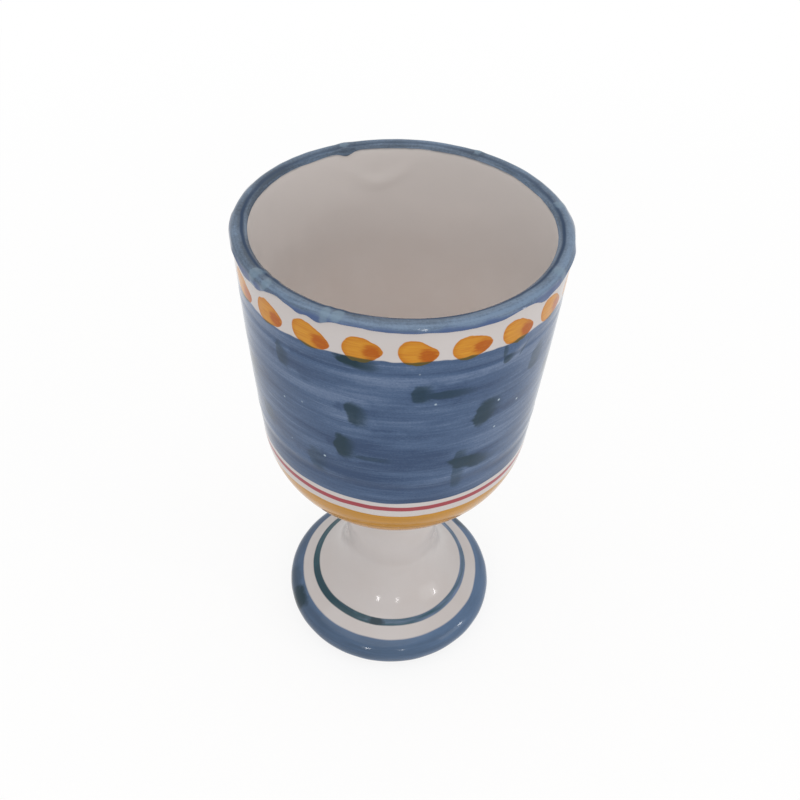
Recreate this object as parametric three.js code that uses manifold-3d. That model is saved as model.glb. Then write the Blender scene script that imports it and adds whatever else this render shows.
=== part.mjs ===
// A hand-painted glazed earthenware goblet: a thrown bowl luted to a hollow thrown pedestal, a white glaze
// inside and out, and bands and dabs of coloured glaze round it. Millimetres, +Z up, the table at z = 0 and
// the axis of the goblet at x = y = 0. The front faces -Y.
import * as THREE from "three";
import { mergeVertices } from "three/addons/utils/BufferGeometryUtils.js";
import Module from "manifold-3d";

const wasm = await Module();
wasm.setup();

// Pedestal, outside of its glaze
const pedestalHeight = 62; // table to the joint under the bowl
const stemRadius = 15.5;
const flareRadius = 22; // the hollow curve from the stem down to the foot
const footRadius = 36.7;
const noseRadius = 5.2; // the round edge of the foot
const noseHeight = 6.2; // table to the middle of the round edge
const shoulderAngle = 25; // degrees below level, at which the foot slopes out to its round edge
const pedestalWall = 4.6; // clay only
const footRingInset = 2.6; // from the middle of the round edge in to the bare ring that stands on the table
const footRingWidth = 3.4;
const footRingDraft = 1; // how much the hollow under the foot narrows from the table to the height of the nose
const hollowTopDrop = 10; // from the joint down to where the pedestal's hollow narrows to its vent
const ventRadius = 4; // lets the air out of the joint in the kiln

// Joint between pedestal and bowl
const seatRadius = 13;
const slipThickness = 0.6;
const coilRadius = 4.5; // the coil of clay smoothed round the joint

// Bowl, outside of its glaze
const bowlHeight = 98; // joint to the top of the lip
const lipRadius = 45;
const lipWidth = 5.1; // across the top of the lip
const lipProud = 0.8; // how far the lip's thick glaze stands out from the wall below it
const lipDepth = 2.6; // from the top of the lip to the foot of its glaze, outside
const lipDip = 1.6; // the same, inside
const lipRound = 1.4; // the lip's corners
const lipFootBack = 0.42; // how far the foot of the lip's glaze stands back from its widest part
const lipFootRise = 0.1; // how steeply that foot comes out of the wall
const lipGlaze = 0.7; // over the top of the clay
const clayLipRound = 0.9;
const wallTaper = 3.45; // how much narrower the wall is at its foot than under the lip
const wallSwell = 0.4; // how much the wall bulges out of a straight cone
const bottomRadius = 31.7; // the round bottom, seen from the side
const bottomLift = 0.2; // from the joint up to the lowest point of that curve
const bowlFloor = 5; // the bottom's thickness, with its glaze

// Glaze
const glaze = 0.5;
const dabClearance = 0.3; // the gap round a dab, in the bands it lies in

// Painted bands of the bowl, from the lip down, with the blue between the dabs and the stripes
const dabBandWidth = 8.4;
const blueFootRise = 0.7; // from the foot of the straight wall up to the foot of the blue
const upperStripeWidth = 1.7;
const redLineWidth = 1.7;
const lowerStripeWidth = 2.6;
const ochreWidth = 14;

// Painted rings of the foot, from its round edge in
const blueEdgeWidth = 4.65;
const whiteRingWidth = 4.1;
const greenRingWidth = 2.1;

// Dabs of orange round the white band
const dabCount = 21;
const dabWidth = 10.2;
const dabHeight = 7.2;
const dabRise = 2.5; // from the foot of the white band up to the middle of a dab
const dabStart = 6.2; // degrees from the front to the first dab, towards +X

// Straight pieces that each curve is made of
const facetsPerDab = 2;
const facets = dabCount * facetsPerDab;
const noseSteps = 5;
const flareSteps = 4;
const undersideSteps = 2;
const ochreSteps = 3;
const stripeSteps = 1;
const blueSteps = 3;
const lipCornerSteps = 3;
const liningSteps = 7;
const dabSteps = 14;

const colours = {
  clay: "#c9a183",
  slip: "#b98f73",
  white: "#e9e3df",
  blue: "#4f6f98",
  lipBlue: "#47658c",
  green: "#2f5f6b",
  red: "#a8394a",
  ochre: "#d99a35",
  orange: "#dd8722",
};

const mergeDistance = 1e-4;
const radians = THREE.MathUtils.degToRad;
const point = (radius, height) => new THREE.Vector2(radius, height);

// Points of an arc in the profile plane, from one angle to another, in degrees from the outward direction.
function arc(centre, radius, from, to, steps) {
  const curve = new THREE.EllipseCurve(
    centre.x, centre.y, radius, radius, radians(from), radians(to), to < from, 0,
  );
  return curve.getPoints(steps);
}

// The same line moved sideways by a distance, to the left of the way it runs, with mitred corners.
function offset(line, distance) {
  return line.map((here, i) => {
    const before = line[Math.max(i - 1, 0)];
    const after = line[Math.min(i + 1, line.length - 1)];
    const side = (a, b) => {
      const along = b.clone().sub(a).normalize();
      return point(-along.y, along.x);
    };
    const first = i > 0 ? side(before, here) : side(here, after);
    const last = i < line.length - 1 ? side(here, after) : first;
    const mitre = first.clone().add(last).normalize();
    return here.clone().addScaledVector(mitre, distance / mitre.dot(first));
  });
}

// A solid of revolution from a closed profile that runs anticlockwise, with Z up and a facet edge at each dab.
function turned(profile) {
  const closed = [...profile, profile[0]].map((p) => point(Math.max(p.x, 0), p.y));
  const ring = profile[0].x > 0 ? closed : closed.slice(0, -1);
  return new THREE.LatheGeometry(ring, facets, radians(dabStart)).rotateX(Math.PI / 2);
}

function toSolid(geometry) {
  const bare = geometry.clone();
  bare.deleteAttribute("normal");
  bare.deleteAttribute("uv");
  const merged = mergeVertices(bare, mergeDistance);
  return new wasm.Manifold(
    new wasm.Mesh({
      numProp: 3,
      vertProperties: new Float32Array(merged.attributes.position.array),
      triVerts: new Uint32Array(merged.index.array),
    }),
  );
}

function toGeometry(solid) {
  const mesh = solid.getMesh();
  const geometry = new THREE.BufferGeometry();
  geometry.setAttribute("position", new THREE.BufferAttribute(mesh.vertProperties, 3));
  geometry.setIndex(new THREE.BufferAttribute(mesh.triVerts, 1));
  geometry.computeVertexNormals();
  return geometry;
}

const goblet = new THREE.Group();

function addPiece(name, geometry, colour, roughness) {
  const material = new THREE.MeshStandardMaterial({ color: colour, roughness, metalness: 0 });
  const mesh = new THREE.Mesh(geometry, material);
  mesh.name = name;
  goblet.add(mesh);
}

const clayRoughness = 0.9;
const glazeRoughness = 0.15;

// Pedestal
const noseCentre = point(footRadius - noseRadius, noseHeight);
const shoulder = noseCentre.clone().add(
  point(noseRadius * Math.sin(radians(shoulderAngle)), noseRadius * Math.cos(radians(shoulderAngle))),
);
const slope = Math.tan(radians(shoulderAngle));
const shoulderAt = (radius) => point(radius, shoulder.y + (shoulder.x - radius) * slope);
const blueEdgeInner = footRadius - blueEdgeWidth;
const greenRingOuter = blueEdgeInner - whiteRingWidth;
const greenRingInner = greenRingOuter - greenRingWidth;
const flareEnd = shoulderAt(stemRadius + flareRadius * (1 - Math.sin(radians(shoulderAngle))));
const flareCentre = point(
  stemRadius + flareRadius, flareEnd.y + flareRadius * Math.cos(radians(shoulderAngle)),
);
const glazeStopAngle = -60; // on the foot's round edge, where its glaze ends above the table

// The height of the foot's line at a radius, on the flare or on the slope outside it.
function footAt(radius) {
  if (radius >= flareEnd.x) return shoulderAt(radius);
  const reach = flareCentre.x - radius;
  return point(radius, flareCentre.y - Math.sqrt(flareRadius ** 2 - reach ** 2));
}

const flareAngleAt = (p) => 180 + THREE.MathUtils.radToDeg(
  Math.atan2(flareCentre.y - p.y, flareCentre.x - p.x),
);
const stemTop = point(stemRadius, pedestalHeight - coilRadius);
const edgeBand = [
  ...arc(noseCentre, noseRadius, glazeStopAngle, 90 - shoulderAngle, noseSteps),
  shoulderAt(blueEdgeInner),
];
const whiteRing = [shoulderAt(blueEdgeInner), footAt(greenRingOuter)];
const greenRing = [footAt(greenRingOuter), footAt(greenRingInner)];
const stemBand = [
  ...arc(flareCentre, flareRadius, flareAngleAt(footAt(greenRingInner)), 180, flareSteps),
  stemTop,
];

// Bowl
const rimHeight = pedestalHeight + bowlHeight;
const lipBaseHeight = rimHeight - lipDepth;
const lipBaseRadius = lipRadius - lipProud;
const turnRadius = lipBaseRadius - wallTaper;
const turnCentre = point(turnRadius - bottomRadius, pedestalHeight + bottomLift + bottomRadius);
const dabBandFoot = lipBaseHeight - dabBandWidth;
const blueBandFoot = turnCentre.y + blueFootRise;
const redLineTop = blueBandFoot - upperStripeWidth;
const redLineFoot = redLineTop - redLineWidth;
const ochreTop = redLineFoot - lowerStripeWidth;
const ochreFoot = ochreTop - ochreWidth;
const angleAtHeight = (height) => THREE.MathUtils.radToDeg(
  Math.asin((height - turnCentre.y) / bottomRadius),
);

// The wall above the round bottom, at a height above the table. Its swell is fullest halfway up.
function wallAt(height) {
  const share = (height - turnCentre.y) / (lipBaseHeight - turnCentre.y);
  const cone = turnRadius + (lipBaseRadius - turnRadius) * share;
  return point(cone + wallSwell * 4 * share * (1 - share), height);
}

function bottomArc(fromHeight, toHeight, steps) {
  return arc(turnCentre, bottomRadius, angleAtHeight(fromHeight), angleAtHeight(toHeight), steps);
}

const coilOuter = stemRadius + coilRadius;
const coilAngle = -THREE.MathUtils.radToDeg(Math.acos((coilOuter - turnCentre.x) / bottomRadius));
const coilHeight = turnCentre.y + bottomRadius * Math.sin(radians(coilAngle));
const undersideBand = arc(turnCentre, bottomRadius, coilAngle, angleAtHeight(ochreFoot), undersideSteps);
const ochreBand = bottomArc(ochreFoot, ochreTop, ochreSteps);
const lowerStripe = bottomArc(ochreTop, redLineFoot, stripeSteps);
const redLine = bottomArc(redLineFoot, redLineTop, stripeSteps);
const upperStripe = [...bottomArc(redLineTop, turnCentre.y, stripeSteps), wallAt(blueBandFoot)];
const blueBand = Array.from({ length: blueSteps + 1 }, (_, i) =>
  wallAt(THREE.MathUtils.lerp(blueBandFoot, dabBandFoot, i / blueSteps)),
);
const dabBand = [wallAt(dabBandFoot), wallAt(lipBaseHeight)];

// The outside of the clay lies one glaze thickness inside the painted line.
const coilFillet = [stemTop, point(coilOuter, coilHeight)];
const outsideBands = [
  edgeBand, whiteRing, greenRing, stemBand, coilFillet, undersideBand, ochreBand, lowerStripe, redLine,
  upperStripe, blueBand, dabBand,
];
const outside = [edgeBand[0]];
const spans = outsideBands.map((band) => {
  const first = outside.length - 1;
  outside.push(...band.slice(1));
  return [first, outside.length - 1];
});
const clayOutside = offset(outside, glaze);

// A ring of glaze over the clay, from the foot of one band to the top of another.
function bandShell(lowest, highest = lowest) {
  const from = spans[outsideBands.indexOf(lowest)][0];
  const to = spans[outsideBands.indexOf(highest)][1] + 1;
  return turned([...outside.slice(from, to), ...clayOutside.slice(from, to).reverse()]);
}

// Inside of the bowl, from the lip down to the middle of the floor
const mouthRadius = lipRadius - lipWidth;
const insideBottomRadius = bottomRadius - bowlFloor;
const liningTop = point(mouthRadius, rimHeight - lipDip);
const lining = [
  liningTop,
  ...arc(turnCentre, insideBottomRadius, 0, -90, liningSteps),
  point(0, turnCentre.y - insideBottomRadius),
];
const clayInside = offset(lining, glaze);
clayInside[clayInside.length - 1].x = 0;

// The lip: a thick roll of blue glaze over the thin top of the clay wall
const clayLipTop = rimHeight - lipGlaze;
const clayLipOuter = clayOutside[clayOutside.length - 1];
const clayLipInner = clayInside[0];
const clayLip = [
  clayLipOuter,
  point(clayLipOuter.x, clayLipTop - clayLipRound),
  point(clayLipOuter.x - clayLipRound, clayLipTop),
  point(clayLipInner.x + clayLipRound, clayLipTop),
  point(clayLipInner.x, clayLipTop - clayLipRound),
  clayLipInner,
];
const lipOutline = [
  outside[outside.length - 1],
  point(lipRadius - lipFootBack, lipBaseHeight + lipFootRise),
  ...arc(point(lipRadius - lipRound, rimHeight - lipRound), lipRound, 0, 90, lipCornerSteps),
  ...arc(point(mouthRadius + lipRound, rimHeight - lipRound), lipRound, 90, 180, lipCornerSteps),
  liningTop,
];

// Clay bodies
const seatHeight = pedestalHeight + slipThickness;
const firstBowlStation = spans[outsideBands.indexOf(undersideBand)][0];
const bowlClay = [
  point(0, seatHeight),
  point(seatRadius, seatHeight),
  ...clayOutside.slice(firstBowlStation),
  ...clayLip.slice(1, -1),
  ...clayInside,
];
addPiece("bowl_body", turned(bowlClay), colours.clay, clayRoughness);

const stemTopStation = spans[outsideBands.indexOf(stemBand)][1];
const pedestalOutside = clayOutside.slice(0, stemTopStation + 1);
const footRingOuter = noseCentre.x - footRingInset;
const footRingInner = footRingOuter - footRingWidth;
const hollowTop = pedestalHeight - hollowTopDrop;
const hollowStemRadius = stemRadius - glaze - pedestalWall;
const hollow = [
  point(hollowStemRadius, hollowTop),
  ...offset(stemBand, glaze + pedestalWall)
    .slice(0, -1)
    .reverse()
    .filter((p) => p.x < footRingInner - 2 * footRingDraft),
  point(footRingInner - footRingDraft, noseHeight),
  point(footRingInner, 0),
];
const pedestalClay = [
  point(footRingOuter, 0),
  ...pedestalOutside,
  point(seatRadius, pedestalHeight),
  point(ventRadius, pedestalHeight),
  point(ventRadius, hollowTop),
  ...hollow,
];
addPiece("pedestal_body", turned(pedestalClay), colours.clay, clayRoughness);

// Slip in the joint, and the coil of clay round it
const slip = [
  point(ventRadius, pedestalHeight),
  point(seatRadius, pedestalHeight),
  point(seatRadius, seatHeight),
  point(ventRadius, seatHeight),
];
addPiece("joint_slip", turned(slip), colours.slip, clayRoughness);
const coil = [
  clayOutside[stemTopStation],
  clayOutside[firstBowlStation],
  point(seatRadius, seatHeight),
  point(seatRadius, pedestalHeight),
];
addPiece("joint_coil", turned(coil), colours.clay, clayRoughness);

// Glaze, from the foot up, over the lip and down into the bowl
addPiece("foot_edge_glaze", bandShell(edgeBand), colours.blue, glazeRoughness);
addPiece("foot_white_ring", bandShell(whiteRing), colours.white, glazeRoughness);
addPiece("foot_green_ring", bandShell(greenRing), colours.green, glazeRoughness);
addPiece("stem_glaze", bandShell(stemBand, undersideBand), colours.white, glazeRoughness);
addPiece("ochre_band", bandShell(ochreBand), colours.ochre, glazeRoughness);
addPiece("lower_white_stripe", bandShell(lowerStripe), colours.white, glazeRoughness);
addPiece("red_line", bandShell(redLine), colours.red, glazeRoughness);
addPiece("upper_white_stripe", bandShell(upperStripe), colours.white, glazeRoughness);
addPiece("lip_glaze", turned([...lipOutline, ...clayLip.slice().reverse()]), colours.lipBlue, glazeRoughness);
addPiece("lining_glaze", turned([...clayInside.slice().reverse(), ...lining]), colours.white, glazeRoughness);

// Dabs of orange, set into the white band and the top of the blue one
const punchDepth = 4;

// A punch with the outline of a dab, pushed out through the glaze at an angle round the goblet.
function dabPunch(angle, extra) {
  const outline = Array.from({ length: dabSteps }, (_, i) => {
    const turn = (i / dabSteps) * Math.PI * 2;
    return [(dabWidth / 2 + extra) * Math.cos(turn), (dabHeight / 2 + extra) * Math.sin(turn)];
  });
  const bar = wasm.Manifold.extrude([outline], punchDepth, 0, 0, [1, 1], true);
  return bar
    .rotate([90, 0, 0])
    .translate([0, -dabBand[0].x, dabBandFoot + dabRise])
    .rotate([0, 0, angle]);
}

const dabAngles = Array.from({ length: dabCount }, (_, i) => dabStart + (i * 360) / dabCount);
const skin = toSolid(bandShell(blueBand, dabBand));
dabAngles.forEach((angle, i) => {
  const name = `orange_dab_${String(i + 1).padStart(2, "0")}`;
  addPiece(name, toGeometry(skin.intersect(dabPunch(angle, 0))), colours.orange, glazeRoughness);
});
const clearings = wasm.Manifold.union(dabAngles.map((angle) => dabPunch(angle, dabClearance)));
const cutByDabs = (band) => toGeometry(toSolid(bandShell(band)).subtract(clearings));
addPiece("body_glaze", cutByDabs(blueBand), colours.blue, glazeRoughness);
addPiece("dab_band_glaze", cutByDabs(dabBand), colours.white, glazeRoughness);

// Glaze in the hollow under the foot, which stops above the bare ring
const hollowLine = hollow.slice(0, -1);
const hollowSkin = [...hollowLine.slice().reverse(), ...offset(hollowLine, -glaze)];
addPiece("hollow_glaze", turned(hollowSkin), colours.white, glazeRoughness);

export default goblet;
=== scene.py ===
"""A hand-painted pottery goblet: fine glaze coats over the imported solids, on a plain pale stage."""

import math

import bmesh
import bpy
from mathutils import Matrix, Vector, noise


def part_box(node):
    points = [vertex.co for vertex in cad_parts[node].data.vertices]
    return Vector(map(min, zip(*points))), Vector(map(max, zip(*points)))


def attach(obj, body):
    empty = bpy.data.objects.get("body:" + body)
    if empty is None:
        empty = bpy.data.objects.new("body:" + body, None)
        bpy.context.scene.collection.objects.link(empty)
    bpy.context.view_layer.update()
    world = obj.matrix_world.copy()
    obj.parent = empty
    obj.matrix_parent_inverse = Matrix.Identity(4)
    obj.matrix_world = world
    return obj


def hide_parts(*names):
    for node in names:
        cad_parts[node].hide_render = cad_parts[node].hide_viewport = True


bl_info = {
    "name": "Painted Pottery Goblet",
    "version": (1, 0, 0),
    "blender": (4, 5, 0),
    "location": "3D View > Sidebar > Goblet",
    "description": "A thrown earthenware goblet with brushed bands and dabs under a clear glaze",
    "category": "Add Mesh",
}

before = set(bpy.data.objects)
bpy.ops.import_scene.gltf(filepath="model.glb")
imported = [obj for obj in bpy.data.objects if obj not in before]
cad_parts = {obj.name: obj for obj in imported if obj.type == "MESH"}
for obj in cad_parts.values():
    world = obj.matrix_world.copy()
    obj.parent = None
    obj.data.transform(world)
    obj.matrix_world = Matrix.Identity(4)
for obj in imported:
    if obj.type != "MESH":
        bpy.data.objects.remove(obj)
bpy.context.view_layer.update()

MM = 0.001
BODY = "root"
# The foot's straight slope down from the level, and where its glaze stops under its edge, in degrees
SHOULDER_ANGLE = 25
GLAZE_STOP_ANGLE = -60


def low(node_name):
    """The height of a CAD piece's lowest point."""
    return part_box(node_name)[0].z


def high(node_name):
    """The height of a CAD piece's highest point."""
    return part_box(node_name)[1].z


def linear(hex_colour):
    """An sRGB hex colour as linear red, green, blue."""
    parts = [int(hex_colour[i : i + 2], 16) / 255 for i in (1, 3, 5)]
    return tuple(p / 12.92 if p <= 0.04045 else ((p + 0.055) / 1.055) ** 2.4 for p in parts)


def length(name, description, default):
    """A size property in metres."""
    return bpy.props.FloatProperty(
        name=name, description=description, default=default, min=0, precision=5, unit="LENGTH"
    )


def colour(name, description, hex_colour):
    """A colour property with its default as sRGB hex."""
    return bpy.props.FloatVectorProperty(
        name=name, description=description, default=linear(hex_colour), min=0, max=1, subtype="COLOR"
    )


class GobletSizes(bpy.types.PropertyGroup):
    """Sizes of the glazed outside, with heights read from the CAD pieces"""

    rim: length("Rim", "Height of the top of the lip", high("lip_glaze"))
    lip_foot: length("Lip Foot", "Height where the lip's glaze ends outside", low("lip_glaze"))
    lining_top: length("Lining Top", "Height where the white lining starts", high("lining_glaze"))
    lip_radius: length("Lip Radius", "Outside of the lip", 45 * MM)
    lip_width: length("Lip Width", "Across the top of the lip", 5.1 * MM)
    lip_proud: length("Lip Proud", "How far the lip stands out from the wall", 0.8 * MM)
    wall_taper: length("Wall Taper", "How much narrower the wall is at its foot", 3.45 * MM)
    wall_swell: length("Wall Swell", "How much the wall bulges", 0.4 * MM)
    bottom_radius: length("Bottom Radius", "Curve of the round bottom", 31.7 * MM)
    bottom_lift: length("Bottom Lift", "Lowest point of the curve over the joint", 0.2 * MM)
    bowl_floor: length("Bowl Floor", "Thickness of the bottom", 5 * MM)
    white_foot: length("White Foot", "Height where the blue wash starts", low("dab_band_glaze"))
    blue_foot: length("Blue Foot", "Height where the blue wash ends", low("body_glaze"))
    red_top: length("Red Top", "Top of the red line", high("red_line"))
    red_foot: length("Red Foot", "Foot of the red line", low("red_line"))
    ochre_top: length("Ochre Top", "Top of the ochre band", high("ochre_band"))
    ochre_foot: length("Ochre Foot", "Foot of the ochre band", low("ochre_band"))
    joint: length("Joint", "Height of the joint", low("joint_slip"))
    coil: length("Coil", "Size of the clay coil round the joint", 4.5 * MM)
    stem_radius: length("Stem Radius", "Narrowest part of the stem", 15.5 * MM)
    flare_radius: length("Flare Radius", "Hollow curve of the foot", 22 * MM)
    foot_radius: length("Foot Radius", "Widest part of the foot", 36.7 * MM)
    nose_radius: length("Nose Radius", "Round edge of the foot", 5.2 * MM)
    nose_height: length("Nose Height", "Middle of the foot's round edge", 6.2 * MM)
    ring_inset: length("Ring Inset", "From the nose's middle in to the bare ring", 2.6 * MM)
    ring_width: length("Ring Width", "Width of the bare ring", 3.4 * MM)
    blue_edge: length("Blue Edge", "Width of the blue edge of the foot, seen from above", 4.65 * MM)
    white_ring: length("White Ring", "Width of the white ring on the foot", 4.1 * MM)
    green_ring: length("Green Ring", "Width of the green ring on the foot", 2.1 * MM)
    glaze: length("Glaze", "Thickness of the glaze", 0.5 * MM)
    dab_height: length("Dab Height", "Middle height of the dabs", 151.5 * MM)
    dab_count: bpy.props.IntProperty(
        name="Dabs", description="Dabs round the white band", default=21, min=1
    )
    dab_start: bpy.props.FloatProperty(
        name="First Dab",
        description="Angle of the first dab from the front",
        default=math.radians(6.2),
        subtype="ANGLE",
    )


class GobletColours(bpy.types.PropertyGroup):
    """Colours of the fired glazes and the clay"""

    white: colour("White Glaze", "Tin-white glaze", "#C4BEBC")
    lining: colour("Lining", "White glaze inside the bowl", "#EBE4E0")
    wash_dark: colour("Wash Dark", "Blue wash where it lies thick", "#334766")
    wash_mid: colour("Wash Middle", "Blue wash", "#485D7C")
    wash_light: colour("Wash Light", "Blue wash where the brush dragged it thin", "#6B7C98")
    wash_mark: colour("Brush Marks", "Green-black ends of the brush strokes", "#16303C")
    speck: colour("Pin Spots", "Pale pin spots in the blue wash", "#B9CBD6")
    lip: colour("Lip", "Blue glaze on the lip", "#566679")
    # Painted shade: the dark blue of the line along the lip's inner corner
    lip_painted_shade: colour("Lip Dark", "Blue where the lip turns in", "#33435A")
    lip_pool: colour("Lip Pool", "Blue where it gathers in beads", "#74899A")
    lip_edge: colour("Lip Edge", "Violet blue at the lip's lower edge", "#475A80")
    orange: colour("Orange", "Orange dab", "#C98C2B")
    orange_deep: colour("Orange Deep", "End of a dab, where the brush lifted", "#A8560A")
    olive: colour("Olive", "Orange laid over blue", "#4A4826")
    ochre: colour("Ochre", "Ochre band", "#BE8410")
    red: colour("Red", "Red line", "#A42A3A")
    green: colour("Green", "Green-blue ring on the foot", "#28525E")
    foot_blue: colour("Foot Blue", "Blue edge of the foot", "#4A607C")
    clay: colour("Clay", "Fired bare clay", "#D2B49A")


def arc(centre, radius, start, end, count):
    """Points of an arc in the profile plane, with angles in degrees from the outward direction."""
    angles = [math.radians(start + (end - start) * i / count) for i in range(count + 1)]
    return [centre + radius * Vector((math.cos(a), math.sin(a))) for a in angles]


def filled(line, step):
    """The same line with more points, no further apart than a step."""
    points = [line[0]]
    for start, end in zip(line, line[1:]):
        count = max(1, math.ceil((end - start).length / step))
        points += [start.lerp(end, i / count) for i in range(1, count + 1)]
    return points


def inward(line, distance):
    """The line moved to the left of the way it runs, with mitred corners."""
    moved = []
    for i, here in enumerate(line):
        before = line[max(i - 1, 0)]
        after = line[min(i + 1, len(line) - 1)]
        sides = [(b - a).normalized() for a, b in ((before, here), (here, after)) if a != b]
        sides = [Vector((-s.y, s.x)) for s in sides]
        mitre = sum(sides, Vector((0, 0))).normalized()
        moved.append(here + mitre * distance / mitre.dot(sides[0]))
    return moved


def beside(radius, height, *steps):
    """Points given by how far out and up from a corner they lie, in mm."""
    return [Vector((radius + out * MM, height + up * MM)) for out, up in steps]


class Profile:
    """The goblet's glazed profile, as lines of (radius, height), from the sizes."""

    def __init__(self, s):
        self.s = s
        self.nose = Vector((s.foot_radius - s.nose_radius, s.nose_height))
        tilt = math.radians(SHOULDER_ANGLE)
        self.shoulder = self.nose + s.nose_radius * Vector((math.sin(tilt), math.cos(tilt)))
        end_radius = s.stem_radius + s.flare_radius * (1 - math.sin(tilt))
        self.flare_end = self.on_slope(end_radius)
        self.flare = Vector(
            (s.stem_radius + s.flare_radius, self.flare_end.y + s.flare_radius * math.cos(tilt))
        )
        self.mouth = s.lip_radius - s.lip_width
        self.wall_top = s.lip_radius - s.lip_proud
        turn = self.wall_top - s.wall_taper
        self.turn = Vector((turn - s.bottom_radius, s.joint + s.bottom_lift + s.bottom_radius))
        self.turn_radius = turn

    def on_slope(self, radius):
        """A point of the foot's straight slope."""
        slope = math.tan(math.radians(SHOULDER_ANGLE))
        return Vector((radius, self.shoulder.y + (self.shoulder.x - radius) * slope))

    def wall(self, height):
        """A point of the bowl's wall, above the round bottom."""
        share = (height - self.turn.y) / (self.s.lip_foot - self.turn.y)
        cone = self.turn_radius + (self.wall_top - self.turn_radius) * share
        return Vector((cone + self.s.wall_swell * 4 * share * (1 - share), height))

    def bottom_angle(self, height):
        """The angle of the round bottom at a height."""
        return math.degrees(math.asin((height - self.turn.y) / self.s.bottom_radius))

    def bowl_outside(self):
        """From the foot of the ochre band up to the lip."""
        s = self.s
        round_part = arc(self.turn, s.bottom_radius, self.bottom_angle(s.ochre_foot), 0, 30)
        heights = [self.turn.y + (s.lip_foot - self.turn.y) * i / 72 for i in range(1, 73)]
        swell = ((0.06, 0.5), (0.08, 1.0), (-0.05, 1.4), (-0.35, 1.7))
        under_lip = beside(self.wall_top, s.lip_foot, *swell)
        return round_part + [self.wall(h) for h in heights] + under_lip

    def stem_outside(self):
        """From the edge of the foot's glaze up to the foot of the ochre band."""
        s = self.s
        reach = s.stem_radius + s.coil - self.turn.x
        coil_angle = -math.degrees(math.acos(reach / s.bottom_radius))
        under = arc(self.turn, s.bottom_radius, coil_angle, self.bottom_angle(s.ochre_foot), 16)
        stem_top = Vector((s.stem_radius, s.joint - s.coil))
        fillet_start = Vector((s.stem_radius, s.joint - 2.2 * s.coil))
        curve = [fillet_start, stem_top, under[0], under[3]]
        fillet = [bezier(curve, i / 12) for i in range(13)]
        nose = arc(self.nose, s.nose_radius, GLAZE_STOP_ANGLE, 90 - SHOULDER_ANGLE, 24)
        flare = arc(self.flare, s.flare_radius, 270 - SHOULDER_ANGLE, 180, 26)
        slope = filled([nose[-1], flare[0]], 0.8 * MM)
        stem = filled([flare[-1], fillet[0]], 1 * MM)
        return nose + slope[1:-1] + flare + stem[1:-1] + fillet + under[4:]

    def lining(self):
        """From the lip's inner edge down to the middle of the bowl's floor."""
        s = self.s
        inner = s.bottom_radius - s.bowl_floor
        curl = ((1.05, -0.85), (0.75, -1.1), (0.45, -1.4), (0.3, -1.8), (0.2, -2.4), (0.08, -3.4))
        round_part = arc(self.turn, inner, 0, -90, 40)
        wall = filled([*beside(self.mouth, s.rim, (0, -4.6)), round_part[0]], 1.6 * MM)
        middle = Vector((0, self.turn.y - inner))
        return beside(self.mouth, s.rim, *curl) + wall + round_part[1:] + [middle]

    def lip(self):
        """From the wall, over the lip, to the top of the lining."""
        s = self.s
        foot = beside(self.wall_top, s.lip_foot, (-0.4, 0.65), (0.36, 0.85), (0.60, 1.15))
        round_out = arc(Vector((s.lip_radius - 2.12 * MM, s.rim - 2.1 * MM)), 2.06 * MM, 26, 84, 14)
        round_in = arc(Vector((self.mouth + 1.85 * MM, s.rim - 2.1 * MM)), 1.87 * MM, 96, 152, 12)
        edge = beside(self.mouth, s.rim, (0.2, -1.32), (0.8, -1.4))
        top = filled([round_out[-1], round_in[0]], 0.3 * MM)
        return foot + round_out + top[1:-1] + round_in + edge


def bezier(control, share):
    """A point of a cubic curve with four control points."""
    a, b, c, d = control
    rest = 1 - share
    return a * rest**3 + b * 3 * rest**2 * share + c * 3 * rest * share**2 + d * share**3


def turned(name, outside, inside, steps, relief):
    """A closed turned coat: its outside line gets the relief, and its inside line hides behind it."""
    bm = bmesh.new()
    coat = bm.verts.layers.float.new("coat")
    ring = []
    for line, amount in ((outside, 1.0), (inside, 0.0)):
        for radius, height in line:
            vertex = bm.verts.new((max(radius, 0), 0, height))
            vertex[coat] = amount
            ring.append(vertex)
    pairs = list(zip(ring, ring[1:] + ring[:1]))
    edges = [bm.edges.new(p) for p in pairs if max(p[0].co.x, p[1].co.x) > 0]
    bmesh.ops.spin(
        bm, geom=ring + edges, cent=(0, 0, 0), axis=(0, 0, 1), angle=math.tau, steps=steps, use_merge=True
    )
    bmesh.ops.remove_doubles(bm, verts=bm.verts, dist=1e-7)
    bmesh.ops.recalc_face_normals(bm, faces=bm.faces)
    for vertex in bm.verts:
        if vertex[coat] > 0.5 and relief:
            vertex.co = relief(vertex.co)
    mesh = bpy.data.meshes.new(name)
    bm.verts.layers.float.remove(coat)
    bm.to_mesh(mesh)
    bm.free()
    mesh.shade_smooth()
    mesh.set_sharp_from_angle(angle=math.radians(38))
    piece = bpy.data.objects.new(name, mesh)
    bpy.context.scene.collection.objects.link(piece)
    return piece


def hump(distance, width):
    """A smooth bump, 1 in the middle."""
    return math.exp(-((distance / width) ** 2))


def around(azimuth, waves, row=0.0):
    """Smooth noise from -1 to 1 that joins up round the goblet."""
    return noise.noise(Vector((waves * math.cos(azimuth), waves * math.sin(azimuth), row)))


def azimuth_of(co):
    """The angle of a point from the front, towards +X."""
    return math.atan2(co.x, -co.y)


# The throwing rings that show most on the wall, each as height, how far it stands out, and its width
WALL_RINGS = ((144.5, -0.15, 0.9), (142.9, 0.10, 0.8), (104.2, 0.12, 1.3), (101.2, -0.12, 1.2))
# Runs of glaze on the wall, each as angle from the front, height, width, length and thickness
WALL_RUNS = ((40.6, 145.6, 2.4, 1.9, 0.5), (-158, 145.8, 1.5, 2.2, 0.35), (118, 146.9, 1.4, 1.8, 0.3))


def pushed(co, out):
    """A point moved out from the goblet's axis, in mm."""
    return co + Vector((co.x, co.y, 0)).normalized() * out * MM


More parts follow.
